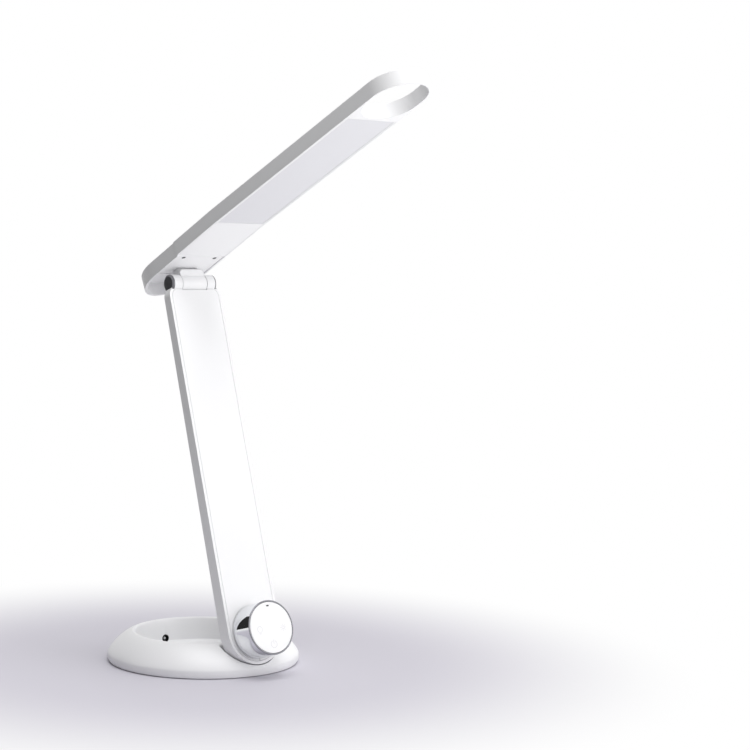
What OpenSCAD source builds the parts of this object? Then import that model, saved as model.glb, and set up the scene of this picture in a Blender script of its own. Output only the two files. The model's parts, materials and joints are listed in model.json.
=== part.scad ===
// Folding desk lamp: ring base with a hollow, flat arm with a dial at its foot,
// long light head on a second hinge, with a loop at its tip that drops over the dial.
// Millimetres, +Z up. Origin at the middle of the base on the table, front toward -Y.

/* [Base] */
// Outer diameter of the ring base
base_d = 160; // [154:1:176]
// Height of the ring's crest above the table
base_h = 25.4; // [24:0.2:26]
// Width of the ring from its outer edge to the hollow inside it
ring_w = 23; // [22:0.5:26]
// Height of the hollow's floor above the table
hollow_floor_z = 5; // [4.6:0.1:6]
// Wall thickness of the white plastic housings
wall = 2.2; // [1.8:0.1:2.4]
// Thickness of the steel bottom plate
plate_t = 1.8; // [1.4:0.1:2]
// Thickness of the rubber pad the lamp stands on
pad_h = 0.6; // [0.5:0.1:1]

/* [Power inlet] */
// Bore of the low-voltage power inlet
inlet_bore_d = 5.5; // [5.5, 6.3]
// Contact pin of the power inlet
inlet_pin_d = 2.1; // [1.7, 2.1, 2.5]
// Height of the inlet's axis above the table
inlet_z = 8.8; // [8.6:0.1:9.4]
// Direction of the inlet round the ring, 90 is straight back
inlet_angle = 90; // [75:1:105]

/* [Arm] */
// Distance from the lower hinge axis to the upper hinge axis
arm_len = 297; // [250:1:340]
// Width of the arm, its foot is a half circle of this width
arm_w = 52.5; // [52:0.5:54]
// Thickness of the arm at the lower hinge
arm_t_low = 11.8; // [11.6:0.1:12.4]
// Thickness of the arm at the upper hinge
arm_t_top = 8.4; // [8:0.1:9.6]
// Lean of the arm backward from vertical, in degrees
arm_lean = 18.6; // [10:0.2:26]
// Thickness of the arm's front cover
cover_t = 1.8; // [1.6:0.1:2]
// Width of the arm shell's rim round the front cover
arm_rim = 2.4; // [2:0.1:2.8]

/* [Hinges] */
// Distance from the arm's front face back to the lower hinge axis
low_axis_depth = 7.6; // [7.5:0.1:7.9]
// Height of the arm's front face centre, level with the dial, above the table
dial_z = 34.8; // [34.6:0.1:36]
// Distance of that point behind the ring's front edge
dial_setback = 9.6; // [8.5:0.1:10.5]
// Diameter of the steel pins in both hinges
pin_d = 5; // [4:0.5:5]
// Running clearance on the radius of a turning bore
running_clear = 0.05; // [0.03:0.01:0.1]
// Width of the cast lug between the arm's lower bearings
lug_w = 19; // [16:0.5:19]
// Diameter of the upper hinge barrel
barrel_d = 15.3; // [14.5:0.1:16]
// Distance from the arm's front face back to the upper hinge axis
top_axis_depth = 5.05; // [4.6:0.05:5.2]
// Width of the head's knuckle in the middle of the barrel
knuckle_w = 24.4; // [22:0.2:25]
// Overall width of the barrel with its dark end caps
barrel_w = 44.6; // [43:0.2:46]

/* [Dial] */
// Outer diameter of the turning dial ring
dial_d = 44.4; // [43:0.1:44.6]
// Height of the dial above the arm's front face
dial_h = 22.8; // [20:0.2:23.4]
// Wall thickness of the dial ring
dial_wall = 1.2; // [1:0.1:1.6]

/* [Head] */
// Width of the light head
head_w = 51; // [51:0.5:54]
// Thickness of the light head
head_t = 12.1; // [11.6:0.1:13]
// Height of the head's underside above the upper hinge axis
head_drop = 15.9; // [15.8:0.1:16.6]
// Rise of the head above level, in degrees
head_rise = 25.8; // [0:0.2:50]
// Length of the head behind the upper hinge axis
head_back = 52.4; // [49:0.2:54]
// Angle by which the head bends down behind its light panel, in degrees
rear_bend = 1.5; // [0:0.1:2]
// Diameter of the loop's opening at the tip
loop_d = 46.6; // [46.4:0.1:46.8]
// Extra length of the loop's opening toward the hinge
loop_stretch = 7.4; // [4:0.2:9]
// Light panel's start, measured forward of the hinge axis
panel_start = 84; // [70:1:100]
// Width of the light panel
panel_w = 45.2; // [44:0.2:45.6]
// Seam between the head's rear housing and its shell, forward of the hinge axis
seam_at = 24.4; // [23.6:0.2:28]
// Number of light emitters in each of the two rows
emitters = 16; // [8:1:20]

/* [Hidden] */

// lower hinge axis in the lamp's frame
base_r = base_d / 2;
dial_front = base_r - dial_setback;
axis_y = -dial_front + low_axis_depth * cos(arm_lean);
axis_z = dial_z - low_axis_depth * sin(arm_lean);
// ring base
hollow_r = base_r - ring_w;
crest_r = hollow_r + 2.5;
plate_z = pad_h;
plate_top = pad_h + plate_t;
plate_r = base_r - 3.4;
side_z = 6.5;
inlet_proud = 1.4;
boss_in = 11.5;
boss_r = 3.4;
screw_seat = 0.8;
screw_l = 8;
weight_h = 5.6;
weight_gap = 0.6;
// bowl in the ring that the arm's foot swings in
bowl_gap = 1.75;
bowl_skin = 2;
bowl_r = arm_w / 2 + bowl_gap;
bowl_back_y = axis_y + arm_t_low - low_axis_depth + 1.8;
// ends of the ring weights beside the bowl and the inlet, as angles round the ring
front_room = 12;
inlet_room = 20;
front_half = asin((bowl_r + front_room) / crest_r);
inlet_half = asin(inlet_room / crest_r);
// tower in the ring that holds the cast lug
tower_t = 9.4;
tower_front_y = bowl_back_y + wall;
tower_back_y = tower_front_y + tower_t;
lug_screw_y = (tower_front_y + tower_back_y) / 2;
lug_x = lug_w / 2;
lug_screw_x = 5;
lug_screw_l = 9;
bearing_l = 7;
collar_at = lug_x + bearing_l + 1.3;
collar_l = 2;
eye_r = low_axis_depth - cover_t - 0.5;
// arm
arm_r = arm_w / 2;
rear_low = arm_t_low - low_axis_depth;
rear_slope = (arm_t_low - arm_t_top) / arm_len;
top_y = -low_axis_depth + top_axis_depth;
barrel_r = barrel_d / 2;
arm_top = arm_len - 2.6;
barrel_gap = 0.7;
cover_gap = 0.3;
cover_boss_y = -low_axis_depth + cover_t + 1.6;
slot_low = 11;
slot_high = 14.5;
corner_r = 10;
knuckle_x = knuckle_w / 2;
ear_in = knuckle_x + 0.5;
cap_t = 1.8;
ear_out = barrel_w / 2 - cap_t;
pin_r = pin_d / 2;
collar_r = pin_r + 0.8;
// driver board in the arm, and the grid its parts are laid out on
board_low = 44;
board_l = 70;
board_w = 34;
board_front = -1.6;
board_d = 1.6;
board_screw_x = 11;
board_screw_in = 8;
cell = board_w / 8;
wire_r = 0.8;
wire_x = 2;
wire_low = board_low + 0.8 * board_l;
wire_high = arm_len - barrel_r - 1.2;
// dial, heights measured forward from the arm's front face
post_r = 11.5;
post_screw_at = 7.4;
post_screw_r = 0.9;
dial_r = dial_d / 2;
dial_in_r = dial_r - dial_wall;
dial_gap = 1.4;
dial_bevel = 0.5;
face_t = 1.8;
face_r = dial_in_r - 0.3;
dot_r = 0.6;
dot_l = 1.4;
dot_in = 3;
sensor_h = 9;
// head
head_r = head_w / 2;
head_top_z = head_drop + head_t;
loop_r = loop_d / 2;
loop_at = arm_len;
panel_end = loop_at - loop_stretch - loop_r - 2.6;
top_wall = 1.8;
bend_at = panel_start - 3;
rear_in = 0.8;
rear_z0 = head_drop - 0.6;
rear_z1 = head_top_z - 0.3;
rear_curve = head_back - 13;
pocket_at = -11;
rim_t = 2;
frame_x = head_r - 1.6;
shell_x = head_r - 2;
deck_x = head_r - rear_in - 1.6;
room_x = deck_x - 0.9;
deck_t = 1.6;
flange_z0 = head_drop - fall(0) + deck_t + 1.6;
flange_z1 = flange_z0 + 2.4;
flange_x = 19;
neck_x = 9.6;
neck_front = 6.2;
neck_kink = 10.2;
neck_top_front = -1.9;
neck_rear = -6.9;
neck_share = (head_drop - fall(0) - neck_kink) / (head_drop - neck_kink);
neck_at_deck = neck_front - neck_share * (neck_front - neck_top_front);
knuckle_screw_x = 15.5;
knuckle_screw_y = 2;
knuckle_screw_l = 5.6;
panel_t = 1.45;
board_t = 1.2;
emitter_h = 0.8;
board_top = head_top_z - top_wall;
// screws
screw_r = 1.4;
screw_head_r = 2.8;
// places used by more than one piece
boss_at = [for (a = [45, 135, 225, 315]) [base_r - boss_in, a]];
cover_screw_x = 18;
cover_screw_low = 32;
cover_screw_in = 28;
cover_screw_u = [cover_screw_low, arm_top - cover_screw_in];
cover_screw_at = [for (u = cover_screw_u) for (s = [-1, 1]) [s * cover_screw_x, u]];
board_screw_u = [board_low + board_screw_in, board_low + board_l - board_screw_in];
board_screw_at = [for (u = board_screw_u) for (s = [-1, 1]) [s * board_screw_x, u]];
deck_screw_x = 15.8;
deck_screw_in = 3.8;
deck_screw_at = [for (s = [-1, 1]) [s * deck_screw_x, seam_at - deck_screw_in]];
white = [0.95, 0.95, 0.96];
grey = [0.75, 0.76, 0.78];
dark = [0.12, 0.12, 0.13];
steel = [0.62, 0.64, 0.66];
green = [0.1, 0.35, 0.22];

function bezier(p, n = 14) = [
    for (i = [0:n])
        let (t = i / n, s = 1 - t)
        s * s * s * p[0] + 3 * s * s * t * p[1] + 3 * s * t * t * p[2] + t * t * t * p[3]
];
function half_ellipse(a, b, n = 40) = [for (i = [0:n]) let (t = 180 * i / n) [a * cos(t), -b * sin(t)]];
function arm_rear(u) = rear_low - rear_slope * u;
function fall(h) = h < bend_at ? (bend_at - h) * tan(rear_bend) : 0;

// Frame of the arm: origin on the lower hinge axis, +Z up along the arm, front toward -Y
module on_arm() {
    translate([0, axis_y, axis_z]) rotate([-arm_lean, 0, 0]) children();
}

// Frame of the head: origin on the upper hinge axis, +Y forward along the head, +Z to its top
module on_head() {
    on_arm()
        translate([0, top_y, arm_len])
            rotate([arm_lean - head_rise, 0, 0])
                mirror([0, 1, 0]) children();
}

// Flat figure drawn in x and u, given thickness from y0 (front) to y1 (rear) of the arm
module arm_slab(y0, y1) {
    translate([0, y1, 0]) rotate([90, 0, 0]) linear_extrude(y1 - y0) children();
}

// Round bar along the dial's axis, between two heights above the arm's front face
module dial_bar(r, h0, h1, bevel = 0) {
    translate([0, -low_axis_depth - h0, 0]) rotate([90, 0, 0])
        cylinder(r1 = r, r2 = r - bevel, h = h1 - h0, $fn = 96);
}

// Round bar across the lamp, along X
module cross_bar(r, x0, x1) {
    translate([x0, 0, 0]) rotate([0, 90, 0]) cylinder(r = r, h = x1 - x0, $fn = 64);
}

module mirror_x() {
    children();
    mirror([1, 0, 0]) children();
}

module arm_outline(inset = 0) {
    r = corner_r - inset;
    top = arm_top - inset;
    circle(r = arm_r - inset, $fn = 128);
    translate([-arm_r + inset, 0]) square([2 * (arm_r - inset), top - r]);
    translate([-arm_r + corner_r, 0]) square([2 * (arm_r - corner_r), top]);
    for (s = [-1, 1]) translate([s * (arm_r - corner_r), top - r]) circle(r = r, $fn = 64);
}

// Thickness of the arm from its front face to the sloping rear face, less an inset at the rear
module arm_wedge(front, inset, x) {
    translate([-x, 0, 0])
        rotate([90, 0, 90])
            linear_extrude(2 * x)
                polygon([
                    [front, -arm_r - 1],
                    [arm_rear(-arm_r - 1) - inset, -arm_r - 1],
                    [arm_rear(arm_len) - inset, arm_len],
                    [front, arm_len]
                ]);
}

// Bar across the head between two places along it, following the bend behind the light panel
module head_bar(x, h0, h1, m0, m1) {
    mid = min(h1, bend_at);
    translate([-x, 0, 0])
        rotate([90, 0, 90])
            linear_extrude(2 * x)
                polygon(concat(
                    [[h0, m0 - fall(h0)], [mid, m0 - fall(mid)]],
                    h1 > bend_at ? [[h1, m0], [h1, m1]] : [],
                    [[mid, m1 - fall(mid)], [h0, m1 - fall(h0)]]
                ));
}

// Outline of the head, round at the tip and drawn out at the rear
module head_outline(inset = 0) {
    translate([0, loop_at]) circle(r = head_r - inset, $fn = 128);
    translate([-head_r + inset, -head_back + rear_curve])
        square([head_w - 2 * inset, loop_at + head_back - rear_curve]);
    translate([0, -head_back + rear_curve])
        polygon(half_ellipse(head_r - inset, rear_curve - inset));
}

module loop_opening() {
    translate([0, loop_at]) circle(r = loop_r, $fn = 128);
    translate([0, loop_at - loop_stretch]) circle(r = loop_r, $fn = 128);
    translate([-loop_r, loop_at - loop_stretch]) square([2 * loop_r, loop_stretch]);
}

module screw(shank, head_h) {
    translate([0, 0, -head_h]) {
        cylinder(r = screw_r, h = head_h + shank, $fn = 32);
        cylinder(r = screw_head_r, h = head_h, $fn = 32);
    }
}

module base_shell() {
    outer = bezier([
        [base_r, side_z],
        [base_r - 0.5, side_z + 4],
        [crest_r + 8.5, base_h - 1.9],
        [crest_r, base_h]
    ]);
    edge = [
        [0, plate_top + 0.2],
        [plate_r + 0.4, plate_top + 0.2],
        [plate_r + 0.4, pad_h],
        [base_r - 1.4, pad_h],
        [base_r, 3]
    ];
    hollow = [
        [crest_r - 1.6, base_h - 0.5],
        [hollow_r, base_h - 1.9],
        [hollow_r - 1.2, hollow_floor_z + 1.6],
        [hollow_r - 2.8, hollow_floor_z],
        [0, hollow_floor_z]
    ];
    inner = bezier([
        [base_r - wall - 0.2, side_z],
        [base_r - wall - 0.6, side_z + 3.2],
        [crest_r + 7.2, base_h - wall - 1.8],
        [crest_r + 1, base_h - wall - 0.2]
    ]);
    color(white)
        difference() {
            union() {
                difference() {
                    rotate_extrude($fn = 180) polygon(concat(edge, outer, hollow));
                    rotate_extrude($fn = 180)
                        polygon(concat(
                            [[crest_r - 0.1, 0], [plate_r + 0.4, 0], [base_r - wall - 0.2, 3]],
                            inner,
                            [[crest_r - 0.1, base_h - wall - 1.2]]
                        ));
                }
                // wall of the tower and the skin under the bowl
                intersection() {
                    translate([-lug_x - 3.4, bowl_back_y, plate_top])
                        cube([2 * lug_x + 6.8, tower_back_y + wall - bowl_back_y, base_h - 0.8 - plate_top]);
                    cylinder(r = base_r, h = base_h);
                }
                intersection() {
                    translate([0, axis_y, axis_z]) sphere(r = bowl_r + bowl_skin, $fn = 96);
                    translate([-60, -base_r, plate_top])
                        cube([120, bowl_back_y + wall + base_r, base_h - plate_top - 1]);
                    rotate_extrude($fn = 180) polygon(concat([[0, 0], [base_r - 1, 0]], outer, [[0, base_h]]));
                }
                for (b = boss_at) rotate(b[1]) translate([b[0], 0, plate_top])
                    cylinder(r = boss_r, h = base_h - 11.5, $fn = 48);
            }
            // bowl
            intersection() {
                translate([0, axis_y, axis_z]) sphere(r = bowl_r, $fn = 96);
                translate([-60, -150, 0]) cube([120, 150 + bowl_back_y, 60]);
            }
            // room for the cast lug
            translate([-lug_x - 0.6, tower_front_y, 0])
                cube([2 * lug_x + 1.2, tower_t, base_h - 2.4]);
            translate([-lug_x - 0.3, bowl_back_y - 1, base_h - 12])
                cube([2 * lug_x + 0.6, tower_back_y - bowl_back_y + 0.6, 14]);
            // blind holes for the plate screws
            for (b = boss_at) rotate(b[1]) translate([b[0], 0, -1])
                cylinder(r = screw_r, h = plate_top + screw_l + 2, $fn = 32);
            // hole for the power inlet
            rotate(inlet_angle) translate([hollow_r - 5, 0, inlet_z]) rotate([0, 90, 0])
                cylinder(r = inlet_bore_d / 2 + 0.6, h = 9, $fn = 48);
        }
}

module bottom_plate() {
    color(steel)
        difference() {
            translate([0, 0, plate_z]) cylinder(r = plate_r, h = plate_t, $fn = 180);
            for (b = boss_at) rotate(b[1]) translate([b[0], 0, plate_z]) {
                translate([0, 0, -1]) cylinder(r = screw_r + 0.2, h = plate_t + 2, $fn = 32);
                translate([0, 0, -1]) cylinder(r = screw_head_r + 0.2, h = 1 + plate_t - screw_seat, $fn = 32);
            }
            for (s = [-1, 1]) translate([s * lug_screw_x, lug_screw_y, plate_z]) {
                translate([0, 0, -1]) cylinder(r = screw_r + 0.2, h = plate_t + 2, $fn = 32);
                translate([0, 0, -1]) cylinder(r = screw_head_r + 0.2, h = 1 + plate_t - screw_seat, $fn = 32);
            }
        }
}

module rubber_pad() {
    color(dark) cylinder(r = base_r - 5, h = pad_h, $fn = 180);
}

module weight_arc(a0, a1) {
    rotate(a0) rotate_extrude(angle = a1 - a0, $fn = 180)
        translate([crest_r + weight_gap, plate_top]) square([plate_r - 1 - crest_r - weight_gap, weight_h]);
}

module ring_weights() {
    color(steel)
        difference() {
            union() {
                weight_arc(front_half - 90, inlet_angle - inlet_half);
                weight_arc(inlet_angle + inlet_half, 270 - front_half);
            }
            for (b = boss_at) rotate(b[1]) translate([b[0], 0, 0])
                cylinder(r = boss_r + weight_gap, h = base_h, $fn = 48);
        }
}

module inlet_socket() {
    color(dark)
        rotate(inlet_angle) translate([hollow_r - inlet_proud, 0, inlet_z]) rotate([0, 90, 0])
            difference() {
                union() {
                    cylinder(r = inlet_bore_d / 2 + 0.5, h = 13, $fn = 48);
                    translate([-4, -4.6, crest_r - hollow_r + inlet_proud]) cube([4 + inlet_z - plate_top, 9.2, 9.1]);
                }
                translate([0, 0, -1]) cylinder(r = inlet_bore_d / 2, h = 11, $fn = 48);
            }
}

module inlet_pin() {
    color(steel)
        rotate(inlet_angle) translate([hollow_r - inlet_proud, 0, inlet_z]) rotate([0, 90, 0])
            translate([0, 0, 1.6]) cylinder(r = inlet_pin_d / 2, h = 8.4, $fn = 32);
}

module base_screws() {
    color(steel)
        for (b = boss_at) rotate(b[1]) translate([b[0], 0, plate_top - screw_seat]) screw(screw_l, screw_seat);
}

module lug_screws() {
    color(steel)
        for (s = [-1, 1]) translate([s * lug_screw_x, lug_screw_y, plate_top - screw_seat])
            screw(lug_screw_l, screw_seat);
}

module hinge_lug() {
    post_y0 = tower_front_y + 0.2;
    post_y1 = tower_back_y - 0.2;
    color(grey)
        difference() {
            translate([-lug_x, 0, 0]) union() {
                translate([lug_x, axis_y, axis_z]) cross_bar(eye_r, -lug_x, lug_x);
                rotate([90, 0, 90]) linear_extrude(lug_w)
                    polygon([
                        [post_y0, plate_top],
                        [post_y1, plate_top],
                        [post_y1, base_h - 3],
                        [axis_y + 0.7 * eye_r, axis_z + 0.7 * eye_r],
                        [axis_y - 0.7 * eye_r, axis_z - 0.7 * eye_r],
                        [post_y0, axis_z - 0.7 * eye_r - (post_y0 - axis_y + 0.7 * eye_r)]
                    ]);
            }
            translate([0, axis_y, axis_z]) cross_bar(pin_r, -lug_x - 1, lug_x + 1);
            for (s = [-1, 1]) translate([s * lug_screw_x, lug_screw_y, 0])
                cylinder(r = screw_r, h = plate_top + lug_screw_l, $fn = 32);
        }
}

module low_pin() {
    end = collar_at + collar_l + 0.2;
    color(steel) translate([0, axis_y, axis_z]) cross_bar(pin_r, -end, end);
}

module low_washers() {
    color(steel)
        on_arm() mirror_x()
            difference() {
                cross_bar(eye_r - 0.3, lug_x + 0.1, lug_x + 0.9);
                cross_bar(pin_r + running_clear, lug_x, lug_x + 1);
            }
}

module low_collars() {
    color(dark)
        translate([0, axis_y, axis_z]) mirror_x()
            difference() {
                cross_bar(collar_r, collar_at, collar_at + collar_l);
                cross_bar(pin_r, collar_at - 1, collar_at + collar_l + 1);
            }
}

module arm_shell() {
    color(white)
        on_arm()
            difference() {
                union() {
                    difference() {
                        intersection() {
                            arm_slab(-low_axis_depth, arm_rear(-arm_r) + 1) arm_outline();
                            arm_wedge(-low_axis_depth, 0, arm_r + 1);
                        }
                        // seat of the front cover and the hollow behind it
                        arm_slab(-low_axis_depth - 1, -low_axis_depth + cover_t) arm_outline(arm_rim);
                        intersection() {
                            arm_slab(-low_axis_depth - 1, arm_rear(-arm_r) + 1) arm_outline(arm_rim + 1.2);
                            arm_wedge(-low_axis_depth - 2, 2, arm_r + 1);
                        }
                    }
                    // bearings of the lower hinge
                    intersection() {
                        mirror_x() {
                            cross_bar(eye_r, lug_x + 1, lug_x + 1 + bearing_l);
                            translate([lug_x + 1, 0, -eye_r]) cube([bearing_l, arm_rear(0) - 0.5, 2 * eye_r]);
                        }
                        arm_wedge(-low_axis_depth, 0.5, arm_r);
                    }
                    // bosses for the cover screws and for the driver board
                    for (p = cover_screw_at) translate([p[0], arm_rear(p[1]) - 0.6, p[1]]) rotate([90, 0, 0])
                        cylinder(r = 3, h = arm_rear(p[1]) - 0.6 - cover_boss_y, $fn = 32);
                    for (p = board_screw_at) translate([p[0], arm_rear(p[1]) - 0.6, p[1]]) rotate([90, 0, 0])
                        cylinder(r = 2.4, h = arm_rear(p[1]) - 0.6, $fn = 32);
                    // block behind the barrel of the upper hinge
                    intersection() {
                        arm_wedge(-low_axis_depth + cover_t, 0.5, ear_in + 2.4);
                        arm_slab(-low_axis_depth, arm_rear(0))
                            translate([-arm_r, wire_high - 2]) square([arm_w, arm_top - wire_high + 1]);
                    }
                    // ears of the upper hinge
                    mirror_x() difference() {
                        union() {
                            translate([0, top_y, arm_len]) cross_bar(barrel_r, ear_in, ear_out);
                            translate([ear_in, -low_axis_depth, arm_top - 2])
                                cube([ear_out - ear_in, arm_t_top, arm_len - arm_top + 2]);
                        }
                        translate([0, top_y, arm_len]) cross_bar(pin_r, ear_in - 1, ear_out + 1);
                    }
                }
                // bores of the lower bearings and room for the pin's collars
                mirror_x() {
                    cross_bar(pin_r + running_clear, lug_x, collar_at);
                    cross_bar(collar_r + 0.3, lug_x + 1 + bearing_l, collar_at + collar_l + 0.6);
                }
                // room for the knuckle's barrel and for the end caps
                translate([0, top_y, arm_len]) {
                    cross_bar(barrel_r + barrel_gap, -ear_in, ear_in);
                    mirror_x() cross_bar(barrel_r + 0.15, ear_out, ear_out + cap_t + cover_gap);
                }
                // slot for the lug in the rear wall
                translate([-lug_x - 1, arm_rear(0) - 3.4, -slot_low])
                    cube([lug_w + 2, 6, slot_low + slot_high]);
                // screw holes from the rear
                for (p = cover_screw_at) translate([p[0], arm_rear(p[1]), p[1]]) rotate([90, 0, 0]) {
                    translate([0, 0, -2]) cylinder(r = screw_r + 0.2, h = 14, $fn = 32);
                    translate([0, 0, -2]) cylinder(r = screw_head_r + 0.3, h = 3.1, $fn = 32);
                }
                for (p = board_screw_at) translate([p[0], 2, p[1]]) rotate([90, 0, 0])
                    cylinder(r = 0.8, h = 10, $fn = 24);
                // way for the wires into the hinge
                translate([-5, -low_axis_depth + cover_t, wire_high - 6]) cube([10, 4, 12]);
            }
}

module arm_cover() {
    y1 = -low_axis_depth + cover_t;
    color(white)
        on_arm()
            difference() {
                union() {
                    arm_slab(-low_axis_depth, y1) arm_outline(arm_rim + cover_gap);
                    for (p = cover_screw_at) translate([p[0], cover_boss_y, p[1]]) rotate([90, 0, 0])
                        cylinder(r = 2.4, h = cover_boss_y - y1 + 0.3, $fn = 32);
                }
                for (p = cover_screw_at) translate([p[0], cover_boss_y + 1, p[1]]) rotate([90, 0, 0])
                    cylinder(r = screw_r - 0.3, h = 3.4, $fn = 32);
                dial_bar(4.5, -cover_t - 1, 1);
                for (s = [-1, 1]) translate([0, 0, s * post_screw_at]) {
                    dial_bar(post_screw_r + 0.1, -cover_t - 1, 1);
                    dial_bar(post_screw_r + 0.9, -cover_t - 1, -cover_t + 1);
                }
                translate([0, top_y, arm_len]) {
                    cross_bar(barrel_r + barrel_gap, -ear_in, ear_in);
                    mirror_x() cross_bar(barrel_r + cover_gap, 0, ear_out + cap_t + cover_gap);
                }
                // parting notch below the dial
                arm_slab(-low_axis_depth - 1, -low_axis_depth + 0.6)
                    translate([-0.4, -arm_r]) square([0.8, 6]);
            }
}

module arm_screws() {
    color(steel)
        on_arm()
            for (p = cover_screw_at) translate([p[0], arm_rear(p[1]) - 1.1, p[1]]) rotate([90, 0, 0]) {
                translate([0, 0, -0.9]) {
                    cylinder(r = screw_r - 0.3, h = arm_rear(p[1]) + low_axis_depth - 1.7, $fn = 32);
                    cylinder(r = screw_head_r, h = 0.9, $fn = 32);
                }
            }
}

module driver_board() {
    color(green)
        on_arm()
            difference() {
                arm_slab(board_front, board_front + board_d)
                    translate([-board_w / 2, board_low]) square([board_w, board_l]);
                for (p = board_screw_at) translate([p[0], 1, p[1]]) rotate([90, 0, 0])
                    cylinder(r = 1, h = 4, $fn = 24);
            }
}

// Plain block on the driver board, its place and size counted in cells
module board_block(x, u, w, l, h) {
    arm_slab(board_front - h * cell, board_front)
        translate([x * cell, board_low + u * cell]) square([w * cell, l * cell]);
}

module board_parts() {
    color(dark)
        on_arm() {
            board_block(-1.2, 7, 2.4, 2.4, 0.42);
            board_block(1.2, 3.4, 1.9, 1.9, 0.7);
            board_block(-2.8, 4.2, 1.6, 1.2, 0.28);
            board_block(-2.1, 11.2, 4.2, 1.6, 0.6);
            for (s = [-1, 1]) translate([s * 2.1 * cell, board_front, board_low + 10.3 * cell])
                rotate([90, 0, 0]) cylinder(r = 0.45 * cell, h = 0.7 * cell, $fn = 32);
        }
}

module board_screws() {
    color(steel)
        on_arm()
            for (p = board_screw_at) translate([p[0], board_front, p[1]]) rotate([90, 0, 0]) {
                translate([0, 0, -3]) cylinder(r = 0.8, h = 4, $fn = 24);
                cylinder(r = 1.8, h = 1, $fn = 24);
            }
}

module arm_wires() {
    color([0.7, 0.1, 0.1])
        on_arm()
            for (s = [-1, 1]) translate([s * wire_x, 2 * board_front, wire_low])
                cylinder(r = wire_r, h = wire_high - wire_low, $fn = 24);
}

module dial_post() {
    color(white)
        on_arm()
            difference() {
                union() {
                    dial_bar(post_r + 4, 0, 1.1);
                    dial_bar(post_r, 0, dial_h - face_t - 3);
                    dial_bar(post_r + 3.5, dial_h - face_t - 3, dial_h - face_t - 1.6);
                }
                difference() {
                    dial_bar(post_r - 2, -1, dial_h - 3);
                    for (s = [-1, 1]) translate([0, 0, s * post_screw_at])
                        dial_bar(2.6, -2, dial_h - face_t - 3);
                }
                for (s = [-1, 1]) translate([0, 0, s * post_screw_at]) dial_bar(post_screw_r, -2, 8);
            }
}

module post_screws() {
    color(steel)
        on_arm()
            for (s = [-1, 1]) translate([0, 0, s * post_screw_at]) {
                dial_bar(post_screw_r, -cover_t + 0.9, 6);
                dial_bar(post_screw_r + 0.8, -cover_t, -cover_t + 1);
            }
}

module dial_ring() {
    color(grey)
        on_arm()
            difference() {
                union() {
                    dial_bar(dial_r, dial_gap, dial_h - dial_bevel);
                    dial_bar(dial_r, dial_h - dial_bevel, dial_h, dial_bevel);
                }
                dial_bar(dial_in_r, dial_gap + 2, dial_h + 1);
                dial_bar(post_r + running_clear, dial_gap - 1, dial_gap + 3);
            }
}

module code_ring() {
    color(dark)
        on_arm()
            difference() {
                dial_bar(dial_in_r - 0.6, dial_gap + 2, dial_gap + 4.4);
                dial_bar(post_r + 3, dial_gap + 1, dial_gap + 6);
                for (a = [0:15:345]) translate([0, -low_axis_depth, 0]) rotate([0, a, 0])
                    translate([post_r + 5, -dial_gap - 6, -0.8]) cube([2.4, 3, 1.6]);
            }
}

module keeper_ring() {
    color(steel)
        on_arm()
            difference() {
                dial_bar(post_r + 1.6, dial_gap + 2.3, dial_gap + 3.1);
                dial_bar(post_r + 0.02, dial_gap + 1, dial_gap + 5);
            }
}

module sensor_board() {
    color(green)
        on_arm() {
            difference() {
                dial_bar(dial_in_r - 1.6, sensor_h, sensor_h + board_t);
                dial_bar(post_r, sensor_h - 1, sensor_h + 2);
            }
            for (a = [80, 100]) rotate([0, a, 0])
                translate([post_r + 4.6, -low_axis_depth - sensor_h, -1.2]) cube([3, 0.9, 2.4]);
        }
}

module touch_board() {
    color(green) on_arm() dial_bar(face_r - 1.2, dial_h - face_t - 1.6, dial_h - face_t);
}

// Oblong bar at the place of the indicator in the touch face
module dot_bar(h0, h1) {
    translate([0, 0, face_r - dot_in]) {
        for (s = [-1, 1]) translate([s * dot_l / 2, 0, 0]) dial_bar(dot_r, h0, h1);
        translate([-dot_l / 2, -low_axis_depth - h1, -dot_r]) cube([dot_l, h1 - h0, 2 * dot_r]);
    }
}

module touch_face() {
    color(white)
        on_arm()
            difference() {
                dial_bar(face_r, dial_h - face_t, dial_h);
                dot_bar(dial_h - face_t - 1, dial_h + 1);
            }
}

module light_dot() {
    color(dark) on_arm() dot_bar(dial_h - face_t, dial_h);
}

module upper_pin() {
    color(steel) on_arm() translate([0, top_y, arm_len]) cross_bar(pin_r, -ear_out, ear_out);
}

module upper_washers() {
    color(steel)
        on_arm() translate([0, top_y, arm_len]) mirror_x()
            difference() {
                cross_bar(barrel_r - 1.6, knuckle_x + 0.08, ear_in);
                cross_bar(pin_r, knuckle_x, ear_in + 1);
            }
}

module end_caps() {
    color(dark)
        on_arm() translate([0, top_y, arm_len]) mirror_x() {
            cross_bar(barrel_r - 0.15, ear_out, ear_out + cap_t - 0.8);
            translate([ear_out + cap_t - 0.8, 0, 0]) rotate([0, 90, 0])
                cylinder(r1 = barrel_r - 0.15, r2 = barrel_r - 1.6, h = 0.8, $fn = 64);
        }
}

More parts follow.
